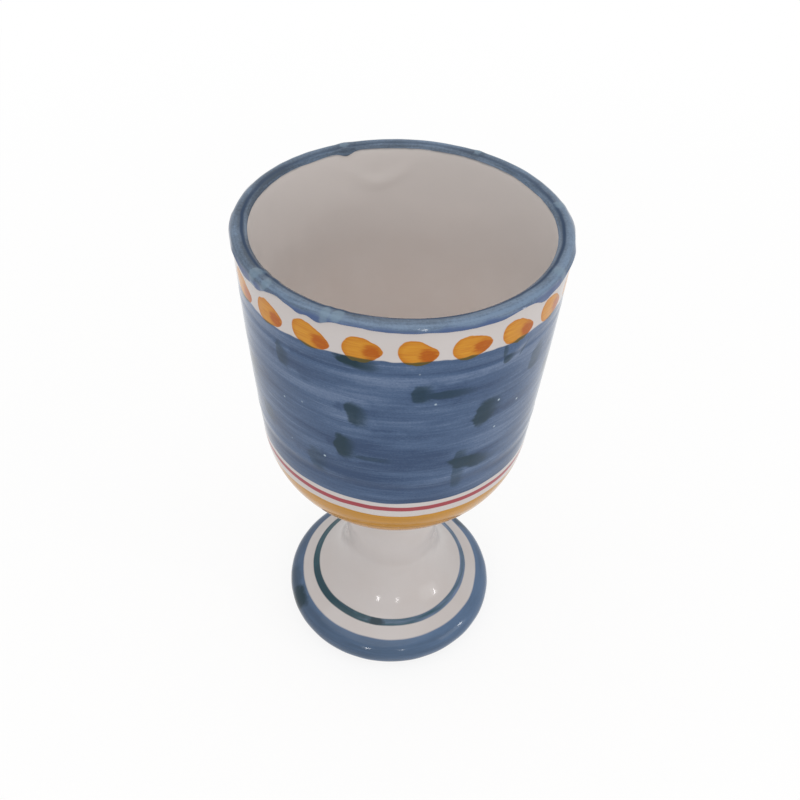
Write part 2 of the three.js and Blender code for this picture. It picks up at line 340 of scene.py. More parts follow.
def off_seam(height):
    """0 at the seam between the bowl's coat and the stem's, 1 away from it."""
    seam = bpy.context.scene.goblet_sizes.ochre_foot / MM
    return min(1, abs(height - seam) / 5)


def wall_relief(co):
    """Throwing rings, glaze runs and a hand-made unevenness on the bowl's wall."""
    azimuth = azimuth_of(co)
    height = co.z / MM
    out = 0.07 * around(azimuth, 1.6, height / 16)
    out += 0.045 * around(azimuth, 1.1, height / 2.6)
    for middle, amount, width in WALL_RINGS:
        wander = 0.5 * around(azimuth, 0.9, middle)
        fade = 0.75 + 0.5 * around(azimuth, 1.3, middle + 5)
        out += amount * fade * hump(height - middle - wander, width)
    for angle, middle, width, reach, amount in WALL_RUNS:
        turn = math.remainder(azimuth - math.radians(angle), math.tau)
        across = turn * co.to_2d().length / MM
        out += amount * hump(across, width) * hump(height - middle, reach)
    return pushed(co, out * off_seam(height))


# Beads of gathered glaze on the lip, each as angle from the front, width in mm and thickness in mm
LIP_BEADS = ((-53, 1.7, 0.2), (-46.5, 1.5, 0.24), (-22.7, 1.2, 0.16), (-18.8, 1.4, 0.18), (62, 1.6, 0.14))
LIP_BEADS += ((104, 1.8, 0.16), (151, 1.5, 0.18), (-155, 1.9, 0.2))
# Where the lip's glaze hangs lower outside, each as angle from the front, width in mm and drop in mm
OUTER_DROPS = ((-58, 4.4, 2.0), (-50, 2.6, 1.6), (-40, 2.4, -0.8), (-31.5, 1.9, 1.0), (-25, 2.3, 1.6))
OUTER_DROPS += ((-2, 5.0, 0.35), (5, 3.0, 0.35), (15, 5.0, 0.6), (24, 5.0, 0.7), (32, 3.4, 0.8))
OUTER_DROPS += ((51, 3.4, 2.2), (59, 3.6, 1.6), (84, 4, 1.2), (112, 3, 1.9), (150, 5, 0.9))
OUTER_DROPS += ((-76, 4, 1.4), (-98, 4, 0.9), (-128, 5, 1.7), (-163, 4, 1.0))
# The same inside the bowl
INNER_DROPS = ((-154.5, 2.5, 1.05), (-138, 5, 0.3), (120, 6, 0.2), (20, 8, 0.2))


def along_lip(azimuth, angle):
    """Distance in mm round the lip from an angle in degrees."""
    lip = bpy.context.scene.goblet_sizes.lip_radius / MM
    return math.remainder(azimuth - math.radians(angle), math.tau) * lip


def lip_relief(co):
    """Beads and drops of the lip's thick glaze."""
    azimuth = azimuth_of(co)
    sizes = bpy.context.scene.goblet_sizes
    radius = co.to_2d().length
    middle = Vector((sizes.lip_radius - sizes.lip_width / 2, sizes.rim - 2.5 * MM))
    away = Vector((radius, co.z)) - middle
    out = 0.08 * around(azimuth, 5, co.z / MM / 2.5) + 0.04 * around(azimuth, 13, 7) - 0.17
    for angle, width, amount in LIP_BEADS:
        out += amount * hump(along_lip(azimuth, angle), width)
    outer = radius > middle.x
    if outer:
        drop = 0.14 * around(azimuth, 6, 3) + 0.10 * around(azimuth, 17, 4)
        drop += sum(d * hump(along_lip(azimuth, a), w) for a, w, d in OUTER_DROPS)
    else:
        drop = 0.16 * around(azimuth, 5, 13) + 0.08 * around(azimuth, 14, 14)
        drop += sum(d * hump(along_lip(azimuth, a), w) for a, w, d in INNER_DROPS)
    start = sizes.rim - (0.75 if outer else 0.5) * MM
    low_part = min(1, max(0, (start - co.z) / (0.7 * MM)))
    drop *= low_part
    top_part = min(1, max(0, (co.z - sizes.rim + 1.4 * MM) / (0.5 * MM)))
    push = away.normalized() * out * top_part
    push.x -= 0.15 * max(drop, 0) if outer else 0.3 * max(drop, 0) + 0.1 * low_part
    push.y -= drop
    return pushed(co, push.x) + Vector((0, 0, push.y * MM))


# The foot's thick blue edge lies outside this radius and under this height, in mm
EDGE_RADIUS = 31
EDGE_TOP = 13
# The sag in the lining: its angle from the front, its height in mm, and how it rises to its sides
SAG_ANGLE = -168
SAG_HEIGHT = 148
SAG_RISE = 0.052


def foot_relief(co):
    """A slight unevenness of the stem and foot, and the fall of the foot's thick blue edge."""
    azimuth = azimuth_of(co)
    height = co.z / MM
    out = 0.06 * around(azimuth, 1.4, height / 9) + 0.07 * around(azimuth, 0.8, height / 1.7)
    if co.to_2d().length > EDGE_RADIUS * MM and height < EDGE_TOP:
        out += 0.08 * around(azimuth, 7, height / 6) - 0.05
    return pushed(co, out * off_seam(height))


def lining_relief(co):
    """Faint throwing rings inside the bowl, and a sag in the glaze near the top."""
    azimuth = azimuth_of(co)
    height = co.z / MM
    out = 0.10 * around(azimuth, 1.2, height / 14) + 0.03 * around(azimuth, 0.9, height / 3.5)
    fade = min(1, co.to_2d().length / (20 * MM))
    rim = bpy.context.scene.goblet_sizes.rim
    fade = min(fade, max(0, (rim - 2.5 * MM - co.z) / (4 * MM)))
    across = along_lip(azimuth, SAG_ANGLE)
    above_sag = height - SAG_HEIGHT - SAG_RISE * across**2
    out -= 0.45 * hump(above_sag, 1.4) * hump(across, 10)
    out += 0.12 * hump(above_sag - 3.6, 1.4) * hump(across, 6)
    return pushed(co, out * fade) if fade > 0.01 else co


def node(tree, kind, sockets=(), out=0, **settings):
    """Adds a shader node with its settings and links, and returns one of its outputs.

    Sockets are named, or else given in the node's order: for a MapRange the value, the two ends of its
    range and what the value becomes at each."""
    made = tree.nodes.new("ShaderNode" + kind)
    for setting, value in settings.items():
        setattr(made, setting, value)
    pairs = sockets.items() if isinstance(sockets, dict) else enumerate(sockets)
    for socket, value in pairs:
        if isinstance(value, bpy.types.NodeSocket):
            tree.links.new(value, made.inputs[socket])
        else:
            made.inputs[socket].default_value = value
    return made.outputs[out]


def new_material(name, roughness, ior=1.42, specular=0.3):
    """A material with one Principled shader, its tree and the shader."""
    material = bpy.data.materials.new(name)
    material.use_nodes = True
    tree = material.node_tree
    shader = tree.nodes["Principled BSDF"]
    shader.inputs["Roughness"].default_value = roughness
    shader.inputs["IOR"].default_value = ior
    shader.inputs["Specular IOR Level"].default_value = specular
    return material, tree, shader


def shade(rgb, share):
    """A colour made darker, or lighter with a share over 1."""
    return [min(1, part * share) for part in rgb]


def painted(tree, ground, *coats):
    """A ground with coats over it, each given as how far it covers, from 0 to 1, and its colour."""
    for cover, paint in coats:
        layers = {6: ground, 7: paint}
        for socket, layer in layers.items():
            if not isinstance(layer, bpy.types.NodeSocket):
                layers[socket] = (*layer, 1.0)
        ground = node(tree, "Mix", {0: cover, **layers}, out=2, data_type="RGBA")
    return ground


def goblet_place(tree):
    """Where a point of the goblet is: in mm, by angle from the front, height and radius."""
    coordinates = node(tree, "TexCoord", out="Object")
    mm = node(tree, "VectorMath", {0: coordinates, "Scale": 1 / MM}, operation="SCALE")
    split = node(tree, "SeparateXYZ", (mm,)).node
    x, y, height = split.outputs
    back = node(tree, "Math", (y, -1.0), operation="MULTIPLY")
    angle = node(tree, "Math", (x, back), operation="ARCTAN2")
    degrees = node(tree, "Math", (angle,), operation="DEGREES")
    flat = node(tree, "CombineXYZ", (x, y))
    radius = node(tree, "VectorMath", (flat,), out=1, operation="LENGTH")
    return {"mm": mm, "degrees": degrees, "height": height, "radius": radius, "side": x, "depth": y}


def streaks(tree, place, run, rise, detail=3.0, shift=0.0, roughness=0.55):
    """Noise from 0 to 1 drawn out along the turning, run mm long and rise mm tall."""
    stretched = node(
        tree,
        "Mapping",
        {"Vector": place["mm"], "Location": (shift, shift, shift), "Scale": (1 / run, 1 / run, 1 / rise)},
    )
    return node(
        tree, "TexNoise", {"Vector": stretched, "Scale": 1.0, "Detail": detail, "Roughness": roughness}
    )


def wandering(tree, place, run, amount, shift):
    """A distance in mm, up to half the amount each way, that wanders round the goblet."""
    wander = streaks(tree, place, run, 60.0, 2.0, shift)
    return node(tree, "MapRange", (wander, 0.3, 0.7, -amount / 2, amount / 2))


def above(tree, value, edge, wander, soft):
    """0 below an edge that wanders, 1 above it. The edge, its wander and its softness are in mm."""
    moved = node(tree, "Math", (value, wander), operation="SUBTRACT")
    return node(tree, "MapRange", (moved, edge - soft, edge + soft), interpolation_type="SMOOTHSTEP")


def painted_edge(tree, place, value, edge, soft, run, amount, shift):
    """The same with a wander of its own."""
    return above(tree, value, edge, wandering(tree, place, run, amount, shift), soft)


def oval(tree, across, up, half_width, half_height):
    """A place measured in an oval's half sizes: its part across, both parts, and how far out it is."""
    wide = node(tree, "Math", (across, half_width), operation="DIVIDE")
    tall = node(tree, "Math", (up, half_height), operation="DIVIDE")
    flat = node(tree, "CombineXYZ", (wide, tall))
    reach = node(tree, "VectorMath", (flat,), out=1, operation="LENGTH")
    return wide, flat, reach


def blob(tree, across, up, half_width, half_height, sharp, ragged):
    """1 inside an oval round the origin of (across, up), 0 outside, with a ragged edge."""
    _, _, reach = oval(tree, across, up, half_width, half_height)
    rough = node(tree, "Math", (ragged, 1.9, -0.95), operation="MULTIPLY_ADD")
    edge = node(tree, "Math", (reach, rough), operation="ADD")
    return node(tree, "MapRange", (edge, 1 - sharp, 1 + sharp, 1.0, 0.0), interpolation_type="SMOOTHSTEP")


# Starts of the blue wash's brush strokes: angle from the front, height, half width and half height in mm,
# slope, how dark, and how many mm the darker trail runs on. They come twice round the bowl.
BRUSH_MARKS = (
    (-13.0, 147.2, 4.6, 1.6, -0.14, 1.0, 0),
    (-41.0, 140.6, 1.9, 3.0, -0.4, 0.55, 22),
    (-13.4, 129.2, 2.5, 3.7, -0.35, 0.85, 24),
    (-17.8, 116.4, 2.5, 3.8, -0.30, 0.9, 30),
    (-8.0, 113.2, 4.5, 0.8, -0.02, 0.5, 0),
    (-29.5, 107.0, 2.6, 3.9, -0.3, 0.42, 34),
    (8.5, 138.3, 2.5, 2.7, 0.0, 0.75, 26),
    (17.5, 137.3, 5.6, 1.2, -0.02, 0.65, 0),
    (32.7, 127.2, 3.4, 3.6, 0.35, 0.85, 20),
    (24.5, 112.4, 1.7, 2.2, 0.0, 0.6, 0),
    (29.3, 108.6, 5.9, 2.3, -0.28, 0.85, 10),
    (24.6, 104.2, 1.7, 4.2, 0.0, 0.5, 0),
    (38.0, 143.8, 1.6, 1.2, 0.2, 0.75, 0),
    (36.2, 146.3, 0.6, 2.0, -0.3, 0.6, 0),
    (44.6, 144.4, 1.4, 0.5, 1.1, 0.5, 0),
    (54.0, 137.6, 2.6, 3.4, 0.3, 0.5, 0),
    (70.0, 127.0, 4.0, 3.0, 0.1, 0.6, 24),
    (-66.0, 124.0, 3.4, 3.2, -0.1, 0.6, 26),
    (-56.0, 112.0, 3.0, 2.6, 0.1, 0.45, 20),
    (76.0, 110.0, 3.6, 3.0, 0.1, 0.55, 22),
)
# Heights in mm between which the blue wash lies
WASH_FOOT = 94
WASH_TOP = 149
# The wash's tone, where 0 is its darkest and 1 its lightest: at its foot, how much lighter it gets with each
# mm up, a painted shade that darkens it towards the foot, and how much lighter it would be on a throwing
# ring that stands out by 1 mm, painted light on the rings and painted shade in their grooves
WASH_FOOT_TONE = 0.3
WASH_PAINTED_SHADE_RISE = 0.0042
WASH_RING_PAINTED_LIGHT = 1.3
# Layers of streaks in the wash: length and height in mm, how much each counts, and its part of the noise
WASH_LAYERS = (
    (34.0, 7.0, 1.0, 0.0), (26.0, 1.9, 0.62, 11.0), (18.0, 0.5, 0.36, 23.0), (0.55, 0.4, 0.42, 31.0),
)
# Where the wash's dark, middle and light colours lie on its scale of tones
WASH_STOPS = (0.12, 0.46, 0.86)
# How far apart the pin spots can be, in mm, and which share of the places stays empty
SPOT_SPACING = 5.5
SPOTLESS = 0.62


def brush_start(tree, across, up, half_width, half_height, ragged):
    """1 inside a squarish spot, 0 outside, crisp at its left end and dragged out at its right."""
    wide, flat, round_reach = oval(tree, across, up, half_width, half_height)
    squared = node(tree, "VectorMath", (flat, flat), operation="MULTIPLY")
    boxy = node(tree, "VectorMath", (squared,), out=1, operation="LENGTH")
    reach = node(tree, "Mix", {0: 0.65, 2: boxy, 3: round_reach})
    rough = node(tree, "Math", (ragged, 1.1, -0.55), operation="MULTIPLY_ADD")
    edge = node(tree, "Math", (reach, rough), operation="ADD")
    soft = node(tree, "MapRange", (wide, -0.8, 1.0, 0.16, 0.65))
    start = node(tree, "Math", (1.0, soft), operation="SUBTRACT")
    end = node(tree, "Math", (1.0, soft), operation="ADD")
    return node(tree, "MapRange", (edge, start, end, 1.0, 0.0), interpolation_type="SMOOTHSTEP")


def brush_marks(tree, place):
    """How dark the starts of the brush strokes make a point, and how dark their trails, from 0 to 1."""
    ragged = streaks(tree, place, 4.0, 2.4, 3.0, 3.0)
    per_degree = node(tree, "Math", (place["radius"], math.radians(1)), operation="MULTIPLY")
    marks = trails = 0.0
    for angle, height, half_width, half_height, slope, strength, reach in BRUSH_MARKS:
        turn = node(tree, "Math", (place["degrees"], angle), operation="SUBTRACT")
        turn = node(tree, "Math", (turn, 90.0, -90.0), operation="WRAP")
        across = node(tree, "Math", (turn, per_degree), operation="MULTIPLY")
        lean = node(tree, "Math", (across, -slope, -height), operation="MULTIPLY_ADD")
        up = node(tree, "Math", (place["height"], lean), operation="ADD")
        mark = brush_start(tree, across, up, half_width * 1.1, half_height * 1.1, ragged)
        lift = node(tree, "MapRange", (across, 0.0, half_width * 1.5, strength, strength * 0.4))
        dark = node(tree, "Math", (mark, lift), operation="MULTIPLY")
        marks = node(tree, "Math", (marks, dark), operation="MAXIMUM")
        if reach:
            level = node(tree, "Math", (place["height"], height), operation="SUBTRACT")
            apart = node(tree, "Math", (across, reach / 2), operation="SUBTRACT")
            trail = blob(tree, apart, level, reach / 2 + 2, half_height * 1.35, 0.3, ragged)
            fade = node(tree, "MapRange", (across, 0.0, float(reach), 1.0, 0.15))
            trail = node(tree, "Math", (trail, fade), operation="MULTIPLY")
            trails = node(tree, "Math", (trails, trail), operation="MAXIMUM")
    return marks, trails


def wash_tone(height):
    """The wash's tone at a height in mm, with painted shade: darker towards the foot and in the grooves of
    the throwing rings, lighter on the rings that stand out.
    """
    rings = sum(amount * hump(height - middle, width) for middle, amount, width in WALL_RINGS)
    return WASH_FOOT_TONE + WASH_PAINTED_SHADE_RISE * (height - WASH_FOOT) + WASH_RING_PAINTED_LIGHT * rings


def blue_wash(tree, place, colours):
    """The brushed blue of the bowl: drawn-out streaks of thick and thin colour, marks and pin spots, with a
    painted shade that darkens it towards its foot.
    """
    # Painted shade: the tone curve darkens the wash towards its foot and in the ring grooves, and lightens
    # it on the rings
    share = node(tree, "MapRange", (place["height"], WASH_FOOT, WASH_TOP))
    tone = node(tree, "FloatCurve", {"Value": share})
    curve = tone.node.mapping.curves[0]
    curve.points[0].location = (0, wash_tone(WASH_FOOT))
    curve.points[1].location = (1, wash_tone(WASH_TOP))
    steps = 2 * (WASH_TOP - WASH_FOOT)
    for step in range(1, steps):
        curve.points.new(step / steps, wash_tone(WASH_FOOT + step / 2))
    tone.node.mapping.update()
    for run, rise, weight, shift in WASH_LAYERS:
        layer = streaks(tree, place, run, rise, 3.0, shift)
        centred = node(tree, "Math", (layer, 0.5), operation="SUBTRACT")
        tone = node(tree, "Math", (centred, weight, tone), operation="MULTIPLY_ADD")
    thin = streaks(tree, place, 22.0, 0.4, 2.0, 41.0)
    thin = node(tree, "MapRange", (thin, 0.6, 0.78, 0.0, 0.3))
    tone = node(tree, "Math", (tone, thin), operation="ADD")
    marks, trails = brush_marks(tree, place)
    tone = node(tree, "Math", (trails, -0.24, tone), operation="MULTIPLY_ADD")
    ramp = node(tree, "ValToRGB", {"Fac": tone}).node
    stops = ramp.color_ramp.elements
    stops.new(WASH_STOPS[1])
    tones = (colours.wash_dark, colours.wash_mid, colours.wash_light)
    for stop, position, paint in zip(stops, WASH_STOPS, tones):
        stop.position = position
        stop.color = (*paint, 1.0)
    spots = node(tree, "TexVoronoi", {"Vector": place["mm"], "Scale": 1 / SPOT_SPACING}, out="Distance")
    chosen = node(tree, "SeparateColor", (spots.node.outputs["Color"],))
    small = node(tree, "MapRange", (spots, 0.03, 0.085, 0.75, 0.0))
    kept = node(tree, "Math", (chosen, SPOTLESS), operation="GREATER_THAN")
    speck = node(tree, "Math", (small, kept), operation="MULTIPLY")
    return painted(tree, ramp.outputs[0], (marks, colours.wash_mark), (speck, colours.speck))


# Half sizes of a painted dab in mm, and how much narrower it gets towards its right end
DAB_HALF_WIDTH = 5.3
DAB_HALF_HEIGHT = 3.65
DAB_TAPER = 0.27
# How much of what lies under them the orange over blue and the red line hide
ORANGE_HIDES = 0.94
RED_HIDES = 0.93


def orange_dabs(tree, place, under, on_blue, sizes, colours):
    """Brush dabs round the white band, each blunt at its left end, with a deeper spot where it ends."""
    spacing = 360 / sizes.dab_count
    start = math.degrees(sizes.dab_start)
    turn = node(tree, "Math", (place["degrees"], start), operation="SUBTRACT")
    count = node(tree, "Math", (turn, spacing), operation="DIVIDE")
    index = node(tree, "Math", (count,), operation="ROUND")
    part = node(tree, "Math", (count, index), operation="SUBTRACT")
    degree_run = node(tree, "Math", (place["radius"], math.radians(spacing)), operation="MULTIPLY")
    along = node(tree, "Math", (part, degree_run), operation="MULTIPLY")
    which = node(tree, "Math", (index, float(sizes.dab_count)), operation="FLOORED_MODULO")
    chance = node(tree, "TexWhiteNoise", {"W": which}, out="Color", noise_dimensions="1D")
    own = node(tree, "SeparateColor", (chance,)).node
    slope = node(tree, "MapRange", (own.outputs[0], 0.0, 1.0, -0.02, 0.20))
    lean = node(tree, "Math", (along, slope), operation="MULTIPLY")
    raised = node(tree, "Math", (place["height"], sizes.dab_height / MM), operation="SUBTRACT")
    level = node(tree, "Math", (raised, lean), operation="ADD")
    hand = streaks(tree, place, 3.4, 3.4, 2.0, 47.0)
    up = node(tree, "Math", (hand, 1.3, -0.65), operation="MULTIPLY_ADD")
    up = node(tree, "Math", (up, level), operation="ADD")
    half_width = node(
        tree, "MapRange", (own.outputs[1], 0.0, 1.0, DAB_HALF_WIDTH * 0.9, DAB_HALF_WIDTH * 1.04)
    )
    s = node(tree, "Math", (along, half_width), operation="DIVIDE")
    narrow = node(
        tree, "Math", (s, -DAB_TAPER * DAB_HALF_HEIGHT, DAB_HALF_HEIGHT), operation="MULTIPLY_ADD"
    )
    q = node(tree, "Math", (up, narrow), operation="DIVIDE")
    flat = node(tree, "CombineXYZ", (s, q))
    reach = node(tree, "VectorMath", (flat,), out=1, operation="LENGTH")
    dab = node(tree, "MapRange", (reach, 0.965, 1.02, 1.0, 0.0), interpolation_type="SMOOTHSTEP")
    spot_place = node(tree, "MapRange", (own.outputs[2], 0.0, 1.0, -0.34, -0.56))
    spot_s = node(tree, "Math", (s, spot_place), operation="ADD")
    spot_q = node(tree, "Math", (q, 0.12), operation="ADD")
    drawn = streaks(tree, place, 7.0, 0.5, 3.0, 53.0)
    spot = blob(tree, spot_s, spot_q, 0.42, 0.62, 0.4, drawn)
    rim = node(tree, "MapRange", (reach, 0.72, 1.0, 0.0, 0.38))
    drag = node(tree, "MapRange", (drawn, 0.36, 0.7, 0.0, 0.42))
    deep = node(tree, "Math", (rim, drag), operation="ADD")
    deep = node(tree, "Math", (spot, 0.85, deep), operation="MULTIPLY_ADD")
    deep = node(tree, "Clamp", (deep,))
    over_blue = node(tree, "Math", (on_blue, ORANGE_HIDES), operation="MULTIPLY")
    paint = painted(tree, colours.orange, (deep, colours.orange_deep), (over_blue, colours.olive))
    return painted(tree, under, (dab, paint))


def glaze_wave(tree, place, run):
    """The soft waviness of a thick clear glaze."""
    return streaks(tree, place, run, run * 0.6, 2.0, 71.0)


def paint_shader(tree, shader, paint, wave, depth, strength=1.0):
    """Gives a shader its colour, and its fine relief with a depth in mm."""
    tree.links.new(paint, shader.inputs["Base Color"])
    bump = node(tree, "Bump", {"Height": wave, "Distance": depth * MM, "Strength": strength})
    tree.links.new(bump, shader.inputs["Normal"])


def warm_white(tree, place, rgb):
    """Tin-white glaze, slightly thinner and warmer in places."""
    cloud = streaks(tree, place, 16.0, 12.0, 2.0, 83.0)
    thin = node(tree, "MapRange", (cloud, 0.4, 0.75, 0.0, 0.35))
    return painted(tree, rgb, (thin, (rgb[0] * 0.93, rgb[1] * 0.88, rgb[2] * 0.84)))


def ring_spot(tree, place, angle, middle, off, half_width, half_height, sharp, ragged):
    """A ragged oval on a ring of the given radius, at an angle from the front."""
    turn = node(tree, "Math", (place["degrees"], angle), operation="SUBTRACT")
    across = node(tree, "Math", (turn, math.radians(middle)), operation="MULTIPLY")
    return blob(tree, across, off, half_width, half_height, sharp, ragged)


def painted_bowl_glaze(sizes, colours):
    """Tin-glazed earthenware painted before firing: glossy, with brush streaks inside the glaze."""
    material, tree, shader = new_material("painted_tin_glaze", 0.12, specular=0.22)
    place = goblet_place(tree)
    height = place["height"]
    white = warm_white(tree, place, colours.white)
    wash = blue_wash(tree, place, colours)
    top_edge = painted_edge(tree, place, height, sizes.white_foot / MM - 0.2, 0.22, 11.0, 1.3, 5.0)
    low_edge = painted_edge(tree, place, height, sizes.blue_foot / MM, 0.16, 18.0, 0.5, 9.0)
    on_blue = node(tree, "Math", (low_edge, top_edge), operation="SUBTRACT")
    red_foot = painted_edge(tree, place, height, sizes.red_foot / MM, 0.16, 16.0, 0.4, 15.0)
    red_top = painted_edge(tree, place, height, sizes.red_top / MM, 0.16, 16.0, 0.4, 15.0)
    red_line = node(tree, "Math", (red_foot, red_top), operation="SUBTRACT")
    red_drag = streaks(tree, place, 20.0, 0.5, 3.0, 17.0)
    red_paint = painted(tree, colours.red, (red_drag, shade(colours.red, 0.62)))
    red_cover = node(tree, "Math", (red_line, RED_HIDES), operation="MULTIPLY")
    ochre_top = painted_edge(tree, place, height, sizes.ochre_top / MM, 0.18, 16.0, 0.6, 19.0)
    ochre_band = node(tree, "Math", (1.0, ochre_top), operation="SUBTRACT")
    ochre_drag = streaks(tree, place, 24.0, 1.1, 4.0, 27.0)
    ochre_drag = node(tree, "MapRange", (ochre_drag, 0.3, 0.7))
    ochre_paint = painted(tree, colours.ochre, (ochre_drag, shade(colours.ochre, 0.78)))
    paint = painted(tree, white, (on_blue, wash), (red_cover, red_paint), (ochre_band, ochre_paint))
    paint = orange_dabs(tree, place, paint, on_blue, sizes, colours)
    paint_shader(tree, shader, paint, glaze_wave(tree, place, 5.0), 0.05)
    return material


# On the lip, in mm out from the mouth: its crest, the beads, and the painted shade line at the front and the
# back
LIP_CREST = 3.7
BEAD_PLACE = 3.4
SHADE_LINE_FRONT = 1.2
SHADE_LINE_BACK = 1.7


def lip_glaze(sizes, colours):
    """Blue glaze laid thick over the lip, with a painted shade line at its inner corner, and painted light:
    lighter along its crest, to the right and to the front.
    """
    material, tree, shader = new_material("thick_blue_glaze", 0.1)
    place = goblet_place(tree)
    radius = place["radius"]
    mouth = (sizes.lip_radius - sizes.lip_width) / MM
    drag = streaks(tree, place, 13.0, 0.7, 4.0, 33.0)
    ring_drag = node(tree, "TexNoise", {"W": radius, "Scale": 1.4, "Detail": 3.0}, noise_dimensions="1D")
    drag = node(tree, "Math", (ring_drag, 0.35, drag), operation="MULTIPLY_ADD")
    grain = streaks(tree, place, 0.7, 0.35, 2.0, 34.0, 0.7)
    drag = node(tree, "Math", (grain, 0.5, drag), operation="MULTIPLY_ADD")
    # Painted highlight: lighter along the lip's crest, darker on its flanks
    crest = node(tree, "Math", (radius, mouth + LIP_CREST), operation="SUBTRACT")
    crest = node(tree, "Math", (crest,), operation="ABSOLUTE")
    crest = node(tree, "MapRange", (crest, 0.2, 1.9, 0.12, -0.1), interpolation_type="SMOOTHSTEP")
    drag = node(tree, "Math", (crest, drag), operation="ADD")
    # Painted light: lighter to the right and to the front, darker towards both far sides
    drag = node(tree, "Math", (place["side"], 0.0025, drag), operation="MULTIPLY_ADD")
    far_side_shade = node(tree, "Math", (place["side"], place["side"]), operation="MULTIPLY")
    drag = node(tree, "Math", (far_side_shade, -0.00003, drag), operation="MULTIPLY_ADD")
    drag = node(tree, "Math", (place["depth"], -0.001, drag), operation="MULTIPLY_ADD")
    tone = node(tree, "MapRange", (drag, 0.62, 1.2))
    low_edge = painted_edge(
        tree, place, place["height"], sizes.lip_foot / MM + 1.3, 0.7, 7.0, 0.8, 37.0
    )
    edge = node(tree, "Math", (1.0, low_edge), operation="SUBTRACT")
    outer_edge = node(tree, "MapRange", (radius, sizes.lip_radius / MM - 2, sizes.lip_radius / MM - 1))
    edge = node(tree, "Math", (edge, outer_edge), operation="MULTIPLY")
    # Painted shade: a dark line along the lip's inner corner, strongest at the front
    shade_line_ends = (mouth + SHADE_LINE_FRONT, mouth + SHADE_LINE_BACK)
    shade_line_radius = node(tree, "MapRange", (place["depth"], -38.0, 0.0, *shade_line_ends))
    off_shade_line = node(tree, "Math", (radius, shade_line_radius), operation="SUBTRACT")
    off_shade_line = node(tree, "Math", (wandering(tree, place, 12.0, 0.5, 35.0), off_shade_line), operation="ADD")
    near_shade_line = node(tree, "Math", (off_shade_line,), operation="ABSOLUTE")
    shade_line_strength = node(tree, "MapRange", (place["depth"], 0.0, 34.0, 0.95, 0.4))
    line = node(
        tree, "MapRange", (near_shade_line, 0.15, 0.8, shade_line_strength, 0.0), interpolation_type="SMOOTHSTEP"
    )
    paint = painted(
        tree,
        shade(colours.lip, 0.55),
        (tone, shade(colours.lip, 1.7)),
        (edge, colours.lip_edge),
        (line, colours.lip_painted_shade),
    )
    gloss = node(tree, "MapRange", (line, 0.0, 1.0, 0.35, 0.05))
    tree.links.new(gloss, shader.inputs["Specular IOR Level"])
    ragged = streaks(tree, place, 3.0, 3.0, 3.0, 39.0)
    inwards = node(tree, "Math", (radius, mouth + BEAD_PLACE), operation="SUBTRACT")
    for angle, width, _ in LIP_BEADS:
        bead = ring_spot(tree, place, angle, mouth, inwards, width * 0.85, 1.7, 0.3, ragged)
        bead = node(tree, "Math", (bead, 0.6), operation="MULTIPLY")
        paint = painted(tree, paint, (bead, colours.lip_pool))
    paint_shader(tree, shader, paint, glaze_wave(tree, place, 3.5), 0.04)
    return material


# Heights in mm between which the glaze inside the bowl turns greyer towards the top, a painted shade
PAINTED_SHADE_FOOT = 106.0
PAINTED_SHADE_TOP = 150.0


def lining_glaze(sizes, colours):
    """Plain tin-white glaze inside the bowl, greyed towards the top by a painted shade, with the lip's blue
    run down over it in places.
    """
    material, tree, shader = new_material("white_tin_glaze", 0.14)
    place = goblet_place(tree)
    white = warm_white(tree, place, colours.lining)
    height = place["height"]
    # Painted shade: the lining darkens towards the top of the bowl
    painted_shade = node(
        tree, "MapRange", (height, PAINTED_SHADE_FOOT, PAINTED_SHADE_TOP, 0.0, 0.95), interpolation_type="SMOOTHSTEP"
    )
    blue = painted_edge(tree, place, height, sizes.rim / MM - 1.7, 0.4, 6.0, 0.5, 61.0)
    blue = node(tree, "Math", (blue, 0.55), operation="MULTIPLY")
    paint = painted(tree, white, (painted_shade, shade(colours.lining, 0.77)), (blue, colours.lip))
    paint_shader(tree, shader, paint, glaze_wave(tree, place, 9.0), 0.05)
    return material


# Where the brush started and ended on the foot: angle from the front, radius, half sizes and how dark
FOOT_MARKS = (
    (-9.0, 27.0, 2.6, 2.2, 1.0),
    (-66.0, 35.2, 3.8, 2.4, 0.95),
    (-79.0, 34.8, 4.5, 2.0, 0.35),
    (-50.0, 27.0, 16.0, 2.0, 0.45),
    (128.0, 35.0, 4.0, 2.0, 0.6),
)


# The highest that the foot's rings reach, and where the glaze above them turns less glossy, in mm
RINGS_TOP = 22.0
GLOSSY_BELOW = 20.0
DULLER_ABOVE = 34.0


